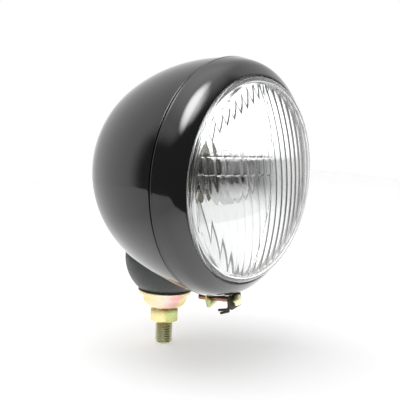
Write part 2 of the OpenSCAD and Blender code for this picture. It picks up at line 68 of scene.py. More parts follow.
# %% [markdown]
# The lamp is turned about two axes: its own, which runs level from back to front, and the stud's, which
# stands upright. Most profiles below are lists of (distance from the axis, distance along it) in
# millimetres. On the lamp's axis the second number counts forward from the seam between bowl and ring.
# The places of both axes are read from the model, so a change of the model moves every piece with it.

# %% The two axes and the units
MM = 0.001
rim_low, rim_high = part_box("rim")
SEAM_Y = rim_high.y
AXIS_Z = (rim_low.z + rim_high.z) / 2
LAMP_AXIS = (Vector((0, SEAM_Y, AXIS_Z)), Vector((0, -1, 0)))
STUD_AXIS = (Vector((0, 0, 0)), Vector((0, 0, 1)))
RIGHT = Vector((1, 0, 0))
RIM_R = (rim_high.x - rim_low.x) / 2 / MM
RIM_FRONT = (SEAM_Y - rim_low.y) / MM
print("lamp axis at height", round(AXIS_Z / MM, 1), "mm; ring radius", round(RIM_R, 1), "mm")

# %% [markdown]
# The camera stands to the left of the lamp and a little above it. Its place comes from the ellipses in
# the photograph: the edge of the glass, the seam and the outline each fix the viewing angle, and the
# upright stud fixes the roll. The aim is a point of the photograph's frame, given in its pixels.

# %% Camera
PHOTO_SIZE = 400
VIEW_AZIMUTH, VIEW_ELEVATION, VIEW_ROLL = (math.radians(a) for a in (-52.76, 8.55, 2.15))
VIEW_DISTANCE = 0.70
FOCAL_PIXELS = 1051.9
AXIS_AT = (227.3, 177.0)
SENSOR = 36.0


def make_camera():
    """Places the camera so that the middle of the seam plane falls on its pixel of the photograph."""
    back = Vector((math.sin(VIEW_AZIMUTH) * math.cos(VIEW_ELEVATION),
                   -math.cos(VIEW_AZIMUTH) * math.cos(VIEW_ELEVATION), math.sin(VIEW_ELEVATION)))
    level = Vector((0, 0, 1)).cross(back).normalized()
    upright = back.cross(level)
    right = math.cos(VIEW_ROLL) * level + math.sin(VIEW_ROLL) * upright
    up = back.cross(right)
    across = (AXIS_AT[0] - PHOTO_SIZE / 2) / FOCAL_PIXELS * VIEW_DISTANCE
    down = (AXIS_AT[1] - PHOTO_SIZE / 2) / FOCAL_PIXELS * VIEW_DISTANCE
    data = bpy.data.cameras.new("camera")
    data.sensor_fit = "HORIZONTAL"
    data.sensor_width = SENSOR
    data.lens = FOCAL_PIXELS / PHOTO_SIZE * SENSOR
    data.clip_start, data.clip_end = 0.05, 20
    camera = bpy.data.objects.new("camera", data)
    scene.collection.objects.link(camera)
    turn = Matrix((right, up, back)).transposed().to_4x4()
    camera.matrix_world = Matrix.Translation(
        LAMP_AXIS[0] + VIEW_DISTANCE * back - across * right + down * up) @ turn
    return camera


scene.camera = make_camera()
print("camera at", [round(x, 3) for x in scene.camera.matrix_world.translation])

# %% [markdown]
# Every material below is a small tree of nodes. One function adds a node, sets it and wires it, and one
# turns the hex colours of a paint card into the linear values that the shader needs. Real surfaces are
# never even, so most finishes take their colour, their roughness and their relief from soft blotches, whose
# size is given in millimetres. Most of such a pattern lies between 0.3 and 0.7.

# %% Helpers for materials
MIDDLE = (0.3, 0.7)
scene.view_settings.view_transform = "Standard"


def linear(hex_colour):
    """Linear red, green, blue and alpha of an sRGB hex colour."""
    parts = [int(hex_colour[k:k + 2], 16) / 255 for k in (1, 3, 5)]
    return [*(p / 12.92 if p <= 0.04045 else ((p + 0.055) / 1.055) ** 2.4 for p in parts), 1.0]


def add(tree, kind, inputs=(), stops=(), **settings):
    """Adds a node with its settings. An input is a value or another node's output, by name or number.

    Stops are the positions and hex colours of a colour ramp."""
    node = tree.nodes.new(kind)
    for name, value in settings.items():
        setattr(node, name, value)
    for name, value in dict(inputs).items():
        if isinstance(value, bpy.types.NodeSocket):
            tree.links.new(value, node.inputs[name])
        else:
            node.inputs[name].default_value = value
    for k, (position, colour) in enumerate(stops):
        elements = node.color_ramp.elements
        element = elements[k] if k < len(elements) else elements.new(1.0)
        element.position, element.color = position, linear(colour)
    return node


def new_material(name, **values):
    """A material with one Principled shader, whose plain values are given by name."""
    material = bpy.data.materials.new(name)
    material.use_nodes = True
    tree = material.node_tree
    shader = tree.nodes["Principled BSDF"]
    for key, value in values.items():
        shader.inputs[key.replace("_", " ")].default_value = value
    print("material", name)
    return material, tree, shader


def blotches(tree, size_mm, detail=2.0, at=(0, 0, 0)):
    """A soft pattern with blotches about size_mm across, in the piece's own coordinates."""
    place = add(tree, "ShaderNodeTexCoord").outputs["Object"]
    moved = add(tree, "ShaderNodeMapping", {"Vector": place, "Location": at})
    return add(tree, "ShaderNodeTexNoise", {
        "Vector": moved.outputs["Vector"], "Scale": 1 / (size_mm * MM), "Detail": detail}).outputs["Fac"]


def dress(tree, shader, relief, height_mm, tone=None, colours=(), gloss=None, rough=()):
    """Relief of a given height from one pattern, and where given, colour and roughness from two more."""
    raised = add(tree, "ShaderNodeBump", {"Height": relief, "Strength": 1.0, "Distance": height_mm * MM})
    tree.links.new(raised.outputs["Normal"], shader.inputs["Normal"])
    if colours:
        tint = add(tree, "ShaderNodeValToRGB", {"Fac": tone}, stops=colours)
        tree.links.new(tint.outputs["Color"], shader.inputs["Base Color"])
    if rough:
        dull = add(tree, "ShaderNodeMapRange", {"Value": gloss, "From Min": MIDDLE[0], "From Max": MIDDLE[1],
                                                "To Min": rough[0], "To Max": rough[1]})
        tree.links.new(dull.outputs["Result"], shader.inputs["Roughness"])


print("mid grey is", round(linear("#808080")[0], 3), "in linear light")


# %% [markdown]
# Pieces that were turned, drawn or spun on the real lamp are made the same way here. The spin operator
# carries a profile once round an axis, and arcs in a profile come from one small function. A last one
# makes the finished object of any mesh and ties it to the body that it moves with.

# %% Helpers for shapes
STEPS = 192
WELD = 0.001
print("a full turn takes", STEPS, "steps, and points closer than", WELD, "mm are joined")


def arc(centre, radius, start, end, count=12):
    """Points on an arc between two angles in degrees, as (radius, along) pairs."""
    angles = [math.radians(start + (end - start) * k / count) for k in range(count + 1)]
    return [(centre[0] + radius * math.cos(a), centre[1] + radius * math.sin(a)) for a in angles]


def on_circle(centre, radius, degrees):
    """The point of a circle at an angle in degrees, as (radius, along)."""
    a = math.radians(degrees)
    return (centre[0] + radius * math.cos(a), centre[1] + radius * math.sin(a))


def spin(profile, axis, closed=True, steps=STEPS):
    """Turns a profile once round an axis and closes it where it meets itself or the axis."""
    origin, along = axis
    bm = bmesh.new()
    corners = [bm.verts.new(origin + MM * (r * RIGHT + a * along)) for r, a in profile]
    edges = [bm.edges.new(pair) for pair in zip(corners, corners[1:])]
    if closed:
        edges.append(bm.edges.new((corners[-1], corners[0])))
    bmesh.ops.spin(bm, geom=corners + edges, cent=origin, axis=along, angle=2 * math.pi, steps=steps,
                   use_merge=True)
    bmesh.ops.remove_doubles(bm, verts=bm.verts, dist=WELD * MM)
    bmesh.ops.recalc_face_normals(bm, faces=bm.faces)
    return bm


def piece(name, bm, body, material, replaces=(), sharp_angle=35):
    """Makes the finished object, smooth but for edges sharper than an angle, and ties it to its body."""
    mesh = bpy.data.meshes.new(name)
    bm.to_mesh(mesh)
    bm.free()
    mesh.materials.append(material)
    mesh.shade_smooth()
    mesh.set_sharp_from_angle(angle=math.radians(sharp_angle))
    made = bpy.data.objects.new(name, mesh)
    scene.collection.objects.link(made)
    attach(made, body)
    if replaces:
        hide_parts(*replaces)
    print(name, "has", len(mesh.polygons), "faces")
    return made


# %% [markdown]
# A black glossy surface has no colour of its own to show, so all that the eye reads on it is what it
# mirrors, and the room is built for that. First comes the table, in white laminate. The bowl mirrors its
# edge as the line between a grey lower half and a dark upper one. The table glows a little for the
# camera, so that it shows as white with only the lamp's shadow on it. Mirrored and refracted rays meet a
# glow of their own, which is strongest in a pool of light in front of the lamp. Places are in metres.

# %% Table
TABLE_LOW, TABLE_HIGH, TABLE_CORNER = (-0.56, -0.32), (1.0, 0.65), 0.25
TABLE_SEEN, TABLE_MIRRORED = 0.35, 0.32
POOL_AT, POOL_GLOW, POOL_REACH = (0.06, -0.15, 0), 1.4, 0.36


def white_laminate():
    """Laminate that glows a little for the camera, and by a pool of light for the other rays."""
    material, tree, shader = new_material("matt_white_laminate", Roughness=0.9)
    shader.inputs["Base Color"].default_value = linear("#f4f4f4")
    path = add(tree, "ShaderNodeLightPath")
    mirrored = add(tree, "ShaderNodeMath", {0: path.outputs["Is Glossy Ray"],
                                            1: path.outputs["Is Transmission Ray"]}, operation="MAXIMUM")
    seen = add(tree, "ShaderNodeMath", {0: path.outputs["Is Camera Ray"], 1: TABLE_SEEN},
               operation="MULTIPLY")
    place = add(tree, "ShaderNodeTexCoord").outputs["Object"]
    away = add(tree, "ShaderNodeVectorMath", {0: place, 1: POOL_AT}, operation="DISTANCE").outputs["Value"]
    pool = add(tree, "ShaderNodeMapRange", {"Value": away, "From Max": POOL_REACH, "To Max": TABLE_MIRRORED,
                                            "To Min": TABLE_MIRRORED + POOL_GLOW})
    lit = add(tree, "ShaderNodeMath", {0: mirrored.outputs[0], 1: pool.outputs["Result"],
                                       2: seen.outputs[0]}, operation="MULTIPLY_ADD")
    glow = add(tree, "ShaderNodeEmission", {"Strength": lit.outputs[0]})
    both = add(tree, "ShaderNodeAddShader", {0: shader.outputs[0], 1: glow.outputs[0]})
    tree.links.new(both.outputs[0], tree.nodes["Material Output"].inputs["Surface"])
    return material


def make_table():
    """A white table with round corners just under the stud."""
    low_x, low_y = (c + TABLE_CORNER for c in TABLE_LOW)
    high_x, high_y = (c - TABLE_CORNER for c in TABLE_HIGH)
    corners = ((high_x, high_y, 0), (low_x, high_y, 90), (low_x, low_y, 180), (high_x, low_y, 270))
    outline = [p for x, y, turn in corners for p in arc((x, y), TABLE_CORNER, turn, turn + 90)]
    bm = bmesh.new()
    bm.faces.new([bm.verts.new((x, y, cad_low.z)) for x, y in outline])
    mesh = bpy.data.meshes.new("table")
    bm.to_mesh(mesh)
    bm.free()
    mesh.materials.append(white_laminate())
    table = bpy.data.objects.new("table", mesh)
    scene.collection.objects.link(table)
    print("table of", [round(high - low, 2) for low, high in zip(TABLE_LOW, TABLE_HIGH)], "metres")


make_table()

# %% [markdown]
# The world is white for the camera and a soft plain level for matt surfaces. The room itself is for
# mirrored and refracted rays: pale walls, a brighter ceiling, and a dark side where the camera stands,
# which draws the black bands on the bowl and in the reflector. All its edges are soft, and each is a pair
# of angles in degrees, where it starts and where it is full. What shows through the glass has been through
# the haze of a real reflector, so its dark side is narrower and ends just under the horizon.

# %% World: the dark side
BY_GLOSS = {"towards": -46, "sides": (107, 90), "lean": (-130, 8), "top": (49, 31), "bottom": (-90, -89)}
BY_GLASS = {"towards": -5, "sides": (46, 14), "lean": (0, 0), "top": (34, 2), "bottom": (-21, -17)}
print("dark side towards", BY_GLOSS["towards"], "degrees for gloss and", BY_GLASS["towards"], "for glass")


def direction(azimuth, tilt):
    """A direction that leans by tilt from straight up towards an azimuth."""
    return (math.sin(azimuth) * math.sin(tilt), -math.cos(azimuth) * math.sin(tilt), math.cos(tilt))


def dark_side(tree, ray, height, level, towards, sides, lean, top, bottom):
    """How much of the dark side a ray meets. Its top edge lies about a pole that leans off the vertical."""
    facing = add(tree, "ShaderNodeVectorMath", {0: level, 1: direction(math.radians(towards), math.pi / 2)},
                 operation="DOT_PRODUCT").outputs["Value"]
    leaning = add(tree, "ShaderNodeVectorMath", {0: ray, 1: direction(*(math.radians(a) for a in lean))},
                  operation="DOT_PRODUCT").outputs["Value"]
    share = 1.0
    for measured, wave, (start, full) in ((facing, math.cos, sides), (leaning, math.sin, top),
                                          (height, math.sin, bottom)):
        edge = add(tree, "ShaderNodeMapRange", {
            "Value": measured, "From Min": wave(math.radians(start)), "From Max": wave(math.radians(full))},
            interpolation_type="SMOOTHSTEP").outputs["Result"]
        share = add(tree, "ShaderNodeMath", {0: share, 1: edge}, operation="MULTIPLY").outputs[0]
    return share


# %% [markdown]
# The glint is a round window, bright in the middle and soft towards its edge. Only rays that were never
# inside glass see it, and it makes the highlight on the ring's shoulder. All the levels are strengths of
# the one background shader.

# %% World
ROOM_WALL, ROOM_CEILING, ROOM_DARK, ROOM_PLAIN = 1.05, 2.0, 0.12, 0.50
CEILING_STARTS, CEILING_FULL = (math.sin(math.radians(a)) for a in (45, 80))
GLINT, GLINT_AT = 13.5, (-35, 61)
GLINT_STARTS, GLINT_FULL = (math.cos(math.radians(a)) for a in (29, 2))


def make_world():
    """White for the camera, a plain level for matt surfaces, and a room with a dark side for gloss."""
    world = bpy.data.worlds.new("white_room")
    scene.world = world
    world.use_nodes = True
    tree = world.node_tree
    tree.nodes.clear()
    ray = add(tree, "ShaderNodeTexCoord").outputs["Generated"]
    height = add(tree, "ShaderNodeSeparateXYZ", {0: ray}).outputs["Z"]
    flat = add(tree, "ShaderNodeVectorMath", {0: ray, 1: (1, 1, 0)}, operation="MULTIPLY").outputs[0]
    level = add(tree, "ShaderNodeVectorMath", {0: flat}, operation="NORMALIZE").outputs[0]
    path = add(tree, "ShaderNodeLightPath")
    by_glass = path.outputs["Is Transmission Ray"]
    dark = add(tree, "ShaderNodeMix", {0: by_glass, 2: dark_side(tree, ray, height, level, **BY_GLOSS),
                                       3: dark_side(tree, ray, height, level, **BY_GLASS)}).outputs[0]
    white = add(tree, "ShaderNodeMapRange", {
        "Value": height, "From Min": CEILING_STARTS, "From Max": CEILING_FULL, "To Min": ROOM_WALL,
        "To Max": ROOM_CEILING}, interpolation_type="SMOOTHSTEP").outputs["Result"]
    room = add(tree, "ShaderNodeMapRange", {"Value": dark, "To Min": white, "To Max": ROOM_DARK})
    azimuth, elevation = (math.radians(a) for a in GLINT_AT)
    near = add(tree, "ShaderNodeVectorMath", {0: ray, 1: direction(azimuth, math.pi / 2 - elevation)},
               operation="DOT_PRODUCT").outputs["Value"]
    glint = add(tree, "ShaderNodeMapRange", {
        "Value": near, "From Min": GLINT_STARTS, "From Max": GLINT_FULL, "To Max": GLINT},
        interpolation_type="SMOOTHSTEP").outputs["Result"]
    outside = add(tree, "ShaderNodeMath", {0: path.outputs["Is Glossy Ray"],
                                           1: path.outputs["Transmission Depth"]}, operation="GREATER_THAN")
    bright = add(tree, "ShaderNodeMath", {0: outside.outputs[0], 1: glint, 2: room.outputs["Result"]},
                 operation="MULTIPLY_ADD").outputs[0]
    mirrored = add(tree, "ShaderNodeMath", {0: path.outputs["Is Glossy Ray"], 1: by_glass},
                   operation="MAXIMUM").outputs[0]
    plain = add(tree, "ShaderNodeMapRange", {"Value": path.outputs["Is Camera Ray"], "To Min": ROOM_PLAIN,
                                             "To Max": 1.0})
    strength = add(tree, "ShaderNodeMix", {0: mirrored, 2: plain.outputs["Result"], 3: bright}).outputs[0]
    shade = add(tree, "ShaderNodeBackground", {"Color": (1, 1, 1, 1), "Strength": strength})
    add(tree, "ShaderNodeOutputWorld", {"Surface": shade.outputs[0]})
    print("world of", len(tree.nodes), "nodes; walls at", ROOM_WALL, "and dark side at", ROOM_DARK)


make_world()

# %% [markdown]
# One large soft box overhead, a little behind the lamp and to its left, gives the plain light and the
# shadow on the table. Mirrored rays pass it by, so its edges never show in the gloss.

# %% Soft box
BOX_TOWARDS, BOX_FAR, BOX_WIDE, BOX_RADIANCE = (math.radians(-150), math.radians(16)), 1.0, 0.9, 2.0


def make_lamp():
    """A square soft box that looks at the middle of the lamp and lights without being mirrored."""
    data = bpy.data.lights.new("top_box", "AREA")
    data.shape = "SQUARE"
    data.size = BOX_WIDE
    data.energy = math.pi * BOX_WIDE ** 2 * BOX_RADIANCE
    lamp = bpy.data.objects.new("top_box", data)
    scene.collection.objects.link(lamp)
    lamp.visible_glossy = lamp.visible_transmission = False
    towards = Vector(direction(*BOX_TOWARDS))
    lamp.location = LAMP_AXIS[0] + BOX_FAR * towards
    lamp.rotation_euler = towards.to_track_quat("Z", "Y").to_euler()
    print("soft box at", [round(x, 2) for x in lamp.location])


make_lamp()

# %% [markdown]
# Stoved gloss enamel: black alkyd paint, sprayed on the drawn steel and baked. It is close to a mirror at
# a glancing angle and black when seen straight on. Drawn sheet is never quite even, so the surface waves
# by a few hundredths of a millimetre, about a centimetre from crest to crest, and the gloss varies a
# little over patches of half that. Both keep the reflections from looking like plastic.

# %% Material: stoved gloss enamel
def stoved_gloss_enamel(tone_mm=40, gloss_mm=14, wave_mm=11, wave_height=0.055):
    """Black gloss over waves and patches of the given sizes in mm."""
    material, tree, shader = new_material("stoved_gloss_enamel", IOR=1.62)
    dress(tree, shader, blotches(tree, wave_mm), wave_height,
          tone=blotches(tree, tone_mm), colours=[(0.3, "#131314"), (0.7, "#191919")],
          gloss=blotches(tree, gloss_mm, at=(3, 1, 2)), rough=(0.06, 0.11))
    return material


ENAMEL = stoved_gloss_enamel()

# %% [markdown]
# Satin paint on the foot: the same black, flatted, so that it shows a dark greenish grey all over with
# only a soft sheen. The thicker pressed steel under it gives a fine pebble, a millimetre across.

# %% Material: flatted satin enamel
def flatted_satin_enamel(tone_mm=9, sheen_mm=3, pebble_mm=0.9, pebble_height=0.004):
    """Dark satin over a fine pebble, all sizes in mm."""
    material, tree, shader = new_material("flatted_satin_enamel")
    dress(tree, shader, blotches(tree, pebble_mm), pebble_height,
          tone=blotches(tree, tone_mm, detail=3.0), colours=[(0.3, "#2f3331"), (0.7, "#393d3a")],
          gloss=blotches(tree, sheen_mm, at=(5, 0, 1)), rough=(0.36, 0.5))
    return material


SATIN = flatted_satin_enamel()

# %% [markdown]
# Yellow passivated zinc: steel plated with zinc and dipped in chromate. The film is thinner than a
# wavelength of light, so it shows interference colours, pale straw for the most part with pink and green.
# The colour drifts across each part along a direction given for it, and wanders a little on the way; on the
# cup and the nut it also runs from light towards the soft box to dark away from it, as painted shade.
# The crystals of the zinc are far finer than the camera can see. They are drawn 0.7 mm across, so that
# the metal shows a little grain.

# %% Material: yellow passivated zinc
def passivated_zinc(name, towards, span, wander, stops, rough=(0.24, 0.3), cloud_mm=7, stain_mm=2.5,
                    grain_mm=0.7, grain_height=0.0012):
    """Zinc whose colour drifts through the stops along a direction, between two distances in mm; on the cup
    and the nut that drift is partly painted shade.
    """
    material, tree, shader = new_material(name, Metallic=1.0)
    place = add(tree, "ShaderNodeTexCoord").outputs["Object"]
    along = add(tree, "ShaderNodeVectorMath", {0: place, 1: towards}, operation="DOT_PRODUCT")
    cloud = add(tree, "ShaderNodeMapRange", {
        "Value": blotches(tree, cloud_mm, detail=1.0), "From Min": MIDDLE[0], "From Max": MIDDLE[1],
        "To Min": -wander * MM, "To Max": wander * MM}).outputs["Result"]
    film_and_shade = add(tree, "ShaderNodeMath", {0: along.outputs["Value"], 1: cloud}, operation="ADD").outputs[0]
    share = add(tree, "ShaderNodeMapRange", {"Value": film_and_shade, "From Min": MM * span[0],
                                             "From Max": MM * span[1]}).outputs["Result"]
    dress(tree, shader, blotches(tree, grain_mm), grain_height, tone=share, colours=stops,
          gloss=blotches(tree, stain_mm, detail=3.0), rough=rough)
    return material


# %% [markdown]
# The cup goes from straw to pink and the nut from straw to green, each lighter on the side towards the soft
# box and darker away from it, which is painted shade; the pink and green are the chromate's own colours. The
# stud has a duller olive chromate, darker and browner towards its top where it enters the nut, and the small
# clamp screw a thick film that looks like copper but for its yellow head. All come from the same recipe.

# %% Material: the four chromates
screw_low, screw_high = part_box("clamp_screw")
# Each ramp runs from pale straw to darker olive or green along its direction; on the cup and the nut the dark
# end lies away from the soft box, as painted shade.
STRAW_TO_PINK = passivated_zinc("straw_to_pink_zinc_painted_shade", (0.6, -0.8, -0.5), (-25, 9), 0.7, [
    (0.0, "#d3c68c"), (0.3, "#dccfae"), (0.52, "#ddc4ba"), (0.74, "#c79a93"), (0.86, "#beb27f"),
    (1.0, "#98946a")])
STRAW_TO_GREEN = passivated_zinc("straw_to_green_zinc_painted_shade", (0.6, -0.8, 0), (-10, 10), 0.6, [
    (0.0, "#dccb9a"), (0.45, "#e0d39a"), (0.6, "#b3b479"), (0.85, "#a2a873"), (1.0, "#9a9b6e")])
OLIVE = passivated_zinc("olive_passivated_zinc", (0, 0, 1), (-16, 1), 1.5, [
    (0.0, "#a3a384"), (0.7, "#9b9a74"), (0.85, "#a58f6e"), (1.0, "#8a7a5c")], rough=(0.32, 0.42))
COPPERY = passivated_zinc("coppery_passivated_zinc", (0, 1, 0), (screw_low.y / MM, screw_high.y / MM), 0.3, [
    (0.0, "#d9d2a8"), (0.14, "#cbc391"), (0.2, "#83604e"), (0.7, "#8e6a5a"), (1.0, "#96603c")])

# %% [markdown]
# Plain metals: springs and small parts have an oil-blackened skin, dull zinc plate or bare drawn metal.
# One function makes them, from a dark and a light colour and a roughness. Their drawn or rolled grain is
# finer than it can show here, so it is drawn 0.8 mm across.

# %% Material: steels, brass and tungsten
def metal(name, dark, light, roughness, vary=(-0.06, 0.08), tone_mm=4, sheen_mm=2, grain_mm=0.8,
          grain_height=0.002):
    """Metal that clouds between two colours, with a fine drawn or rolled grain."""
    material, tree, shader = new_material(name, Metallic=1.0)
    dress(tree, shader, blotches(tree, grain_mm), grain_height,
          tone=blotches(tree, tone_mm, detail=3.0), colours=[(0.3, dark), (0.7, light)],
          gloss=blotches(tree, sheen_mm), rough=(roughness + vary[0], roughness + vary[1]))
    return material


DARK_STEEL = metal("oiled_black_steel", "#31302c", "#4b4942", 0.42)
SPRING_STEEL = metal("drawn_spring_steel", "#7b776a", "#9a9585", 0.3)
PLATED = metal("dull_zinc_plate", "#b1b0aa", "#cac8c0", 0.3)
BRASS = metal("stamped_brass", "#b08d4a", "#cda963", 0.3)
TUNGSTEN = metal("drawn_tungsten", "#6f7072", "#87888a", 0.35)

# %% [markdown]
# Vulcanised rubber is a matt black with a faint bloom, and the phenolic socket a slightly glossier one.
# The gasket behind the glass is a pale grey rubber: in the photograph nothing black shows behind the
# glass's edge. Their skin is drawn half a millimetre from grain to grain.

# %% Material: rubber and phenolic
def filled_polymer(name, dark, light, roughness, vary=0.08, tone_mm=5, bloom_mm=1.5, grain_mm=0.5,
                   grain_height=0.006):
    """Rubber or phenolic that clouds between two colours under a matt bloom."""
    material, tree, shader = new_material(name)
    dress(tree, shader, blotches(tree, grain_mm), grain_height,
          tone=blotches(tree, tone_mm, detail=4.0), colours=[(0.3, dark), (0.7, light)],
          gloss=blotches(tree, bloom_mm), rough=(roughness - vary, roughness + vary))
    return material


RUBBER = filled_polymer("vulcanised_rubber", "#101011", "#1a1a1b", 0.7)
PALE_RUBBER = filled_polymer("pale_grey_rubber", "#c4c2ba", "#d8d6ce", 0.7)
PHENOLIC = filled_polymer("moulded_phenolic", "#141416", "#1c1c1f", 0.4)

# %% [markdown]
# Pressed soda-lime glass. It is clear, so nearly all of its look comes from its shape, which bends what
# lies behind it. The press leaves the faces very slightly wavy. The straight wall and the flange are
# ground to size, which leaves them milky. The bulb is blown from thinner and smoother glass.

# %% Material: pressed and blown glass
def soda_glass(name, wave_height, roughness=0.0, clear=1.0, wave_mm=7):
    """Glass with slight waves, whose clear share lets light through and the rest scatters it."""
    material, tree, shader = new_material(name, Roughness=roughness, IOR=1.51, Transmission_Weight=clear)
    shader.inputs["Base Color"].default_value = linear("#fdfdfd")
    dress(tree, shader, blotches(tree, wave_mm, detail=1.0), wave_height)
    return material


GLASS = soda_glass("pressed_soda_glass", 0.004)
GROUND_GLASS = soda_glass("ground_soda_glass", 0.004, roughness=0.5, clear=0.3)
BULB_GLASS = soda_glass("blown_lamp_glass", 0.001)

# %% [markdown]
# The reflector is lacquered steel with a film of aluminium evaporated onto it in a vacuum, which gives a
# bright mirror with a touch of haze and the slight unevenness of the lacquer.

# %% Material: evaporated aluminium
def evaporated_aluminium(haze_mm=12, wave_mm=6, wave_height=0.002):
    """A bright mirror with patches of haze and the waves of the lacquer."""
    material, tree, shader = new_material("evaporated_aluminium", Metallic=1.0)
    shader.inputs["Base Color"].default_value = linear("#f4f5f5")
    dress(tree, shader, blotches(tree, wave_mm, detail=1.0), wave_height,
          gloss=blotches(tree, haze_mm), rough=(0.03, 0.07))
    return material


MIRROR = evaporated_aluminium()

# %% [markdown]
# Sheets and the fluted glass are cut along planes. A round hole is a ring of such cuts through both faces
# of a sheet: what lies inside the ring is taken away, and the two open edges are joined by a wall.

# %% Cutting
HOLE_SIDES = 48
print("a round hole has", HOLE_SIDES, "sides")


def cut(bm, faces, place, normal, clear=False, near=1e-4):
    """Cuts faces along a plane and gives back all the faces that the cut left or made."""
    parts = set(faces)
    geom = list(parts) + list({e for f in parts for e in f.edges}) + list({v for f in parts for v in f.verts})
    made = bmesh.ops.bisect_plane(bm, geom=geom, dist=near, plane_co=place, plane_no=normal,
                                  clear_outer=clear)
    return [f for f in made["geom"] if isinstance(f, bmesh.types.BMFace)]


def drill(bm, start, heading, radius, reach=1.5):
    """Cuts a round hole through a sheet, along a heading from a point inside, and closes its wall.

    Only the faces ahead, within reach times the radius of the hole's axis, are cut."""
    turns = [Matrix.Rotation(2 * math.pi * k / HOLE_SIDES, 3, heading) @ RIGHT
             for k in range(HOLE_SIDES)]
    near = [f for f in bm.faces if (f.calc_center_median() - start).dot(heading) > 0 and
            (f.calc_center_median() - start).cross(heading).length < reach * radius]
    for turn in turns:
        near = cut(bm, near, start + radius * turn, turn, near=WELD / 10 * MM)
    inside = [f for f in near if all((f.calc_center_median() - start).dot(t) < radius for t in turns)]
    bmesh.ops.delete(bm, geom=inside, context="FACES")
    bmesh.ops.bridge_loops(bm, edges=[e for e in bm.edges if e.is_boundary])
    bmesh.ops.recalc_face_normals(bm, faces=bm.faces)


# %% [markdown]
# The bowl is drawn from one sheet of steel. In profile its side is a long shallow arc that runs into the
# rounder arc of the tail. Just short of the seam the outer face bends in over a tight edge, and a lip goes
# on under the ring: the narrow gap between the two is the dark line of the seam. The shell has a real
# wall, so the profile goes out along the outer face and comes back along the inner one. Two holes are cut
# in it: a wide one over the foot, which the head of the stud looks through, and one low in the tail for
# the cable's grommet.

# %% Bowl
bowl_low, bowl_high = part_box("bowl")
BOWL_R = (bowl_high.x - bowl_low.x) / 2 / MM
BOWL_DEPTH = (bowl_high.y - SEAM_Y) / MM
TAIL_LESS = 6.5
SHEET = 1.0
LIP_IN, LIP_LENGTH, LIP_LEAN, LIP_ROLL, LIP_CURL = 2.6, 6.4, 9.9, 1.2, 250
EDGE_BEND, EDGE_TURN, GAP, GAP_FLOOR, INNER_STEP = 0.5, 88, 1.7, 77.4, 0.2
ACCESS_R, INLET_R, INLET_BELOW = 17.0, 7.5, math.radians(24)
tail_r = BOWL_R - TAIL_LESS
tail_at = (0, tail_r - BOWL_DEPTH)
longer = BOWL_DEPTH - BOWL_R
side_at = (-longer - longer ** 2 / (2 * TAIL_LESS), 0)
side_r = BOWL_R - side_at[0]
join = math.degrees(math.atan2(tail_at[1], -side_at[0]))


def bowl_profile():
    """Outer face, gap and lip, and back along the inner face."""
    lean = math.radians(LIP_LEAN)
    out, on = (math.cos(lean), math.sin(lean)), (-math.sin(lean), math.cos(lean))
    start = (RIM_R - LIP_IN * out[0], -LIP_IN * out[1])
    end = (start[0] + LIP_LENGTH * on[0], start[1] + LIP_LENGTH * on[1])
    roll = (end[0] - LIP_ROLL * out[0], end[1] - LIP_ROLL * out[1])
    turned_in = -math.degrees((GAP + EDGE_BEND) / side_r)
    inside = -math.degrees((GAP + EDGE_BEND + SHEET) / side_r)
    bend_at = on_circle(side_at, side_r - EDGE_BEND, turned_in)
    outer = arc(tail_at, tail_r, -90, join, 40)[:-1] + arc(side_at, side_r, join, turned_in, 24)
    outer += arc(bend_at, EDGE_BEND, turned_in, EDGE_TURN, 8)[1:] + [(GAP_FLOOR, -GAP)]
    lip = [start] + arc(roll, LIP_ROLL, LIP_LEAN, LIP_LEAN + LIP_CURL, 14)
    lip += [(end[0] - SHEET * out[0], end[1] - SHEET * out[1]), (start[0] - SHEET * out[0], -GAP - SHEET)]
    lip += [(GAP_FLOOR - INNER_STEP, -GAP - SHEET)]
    inner = arc(side_at, side_r - SHEET, inside, join, 24)[:-1] + arc(tail_at, tail_r - SHEET, join, -90, 40)
    return outer + lip + inner


shell = spin(bowl_profile(), LAMP_AXIS)
drill(shell, Vector((0, 0, AXIS_Z - MM * BOWL_R / 2)), Vector((0, 0, -1)), MM * ACCESS_R)
tail_middle = LAMP_AXIS[0] + MM * tail_at[1] * LAMP_AXIS[1]
drill(shell, tail_middle, Vector((0, math.cos(INLET_BELOW), -math.sin(INLET_BELOW))), MM * INLET_R)
piece("bowl_shell", shell, "lamp", ENAMEL, ["bowl"])

# %% [markdown]
# The front ring starts at the seam, one millimetre proud of the bowl, leans in a little to a rounded
# shoulder, and falls away to the rolled edge round the glass. A pressing is never quite flat, so both
# faces are slightly crowned: each is a curve that rises a tenth of a millimetre above the straight line.
# The rear edge is hemmed to a small bead, and that is what catches the light along the seam. The shoulder
# is rounded softer than in the model, because the photograph's broad highlight asks for it.

# %% Front ring
REAR_LEAN, FRONT_LEAN = 9.9, 50.5
SHOULDER_AT, SHOULDER_R = (71.8, 9.3), 6.5
ROLL_AT, ROLL_R = (69.1, RIM_FRONT - 1.1), 1.1
RIM_SHEET, HEM_R, HEM_AHEAD, HEM_STARTS = 0.9, 0.8, 0.72, -110
SOFT_SHOULDER_R, CROWN, CROWN_TURN = 13.5, 0.12, 4
BEAD_RISE, BEAD_TURN, BEAD_RUN = 0.2, 38, 0.9
GLASS_BEHIND, WALL_STEP = 3.0, 0.3
GLASS_FRONT = RIM_FRONT - GLASS_BEHIND


def crowned(first, last, rise, count=10):
    """Points strictly between two others on a shallow curve that rises to the left of their line."""
    run = (last[0] - first[0], last[1] - first[1])
    length = math.hypot(*run)
    side = (run[1] / length, -run[0] / length)
    shares = [k / count for k in range(1, count)]
    return [(first[0] + t * run[0] + 4 * rise * t * (1 - t) * side[0],
             first[1] + t * run[1] + 4 * rise * t * (1 - t) * side[1]) for t in shares]


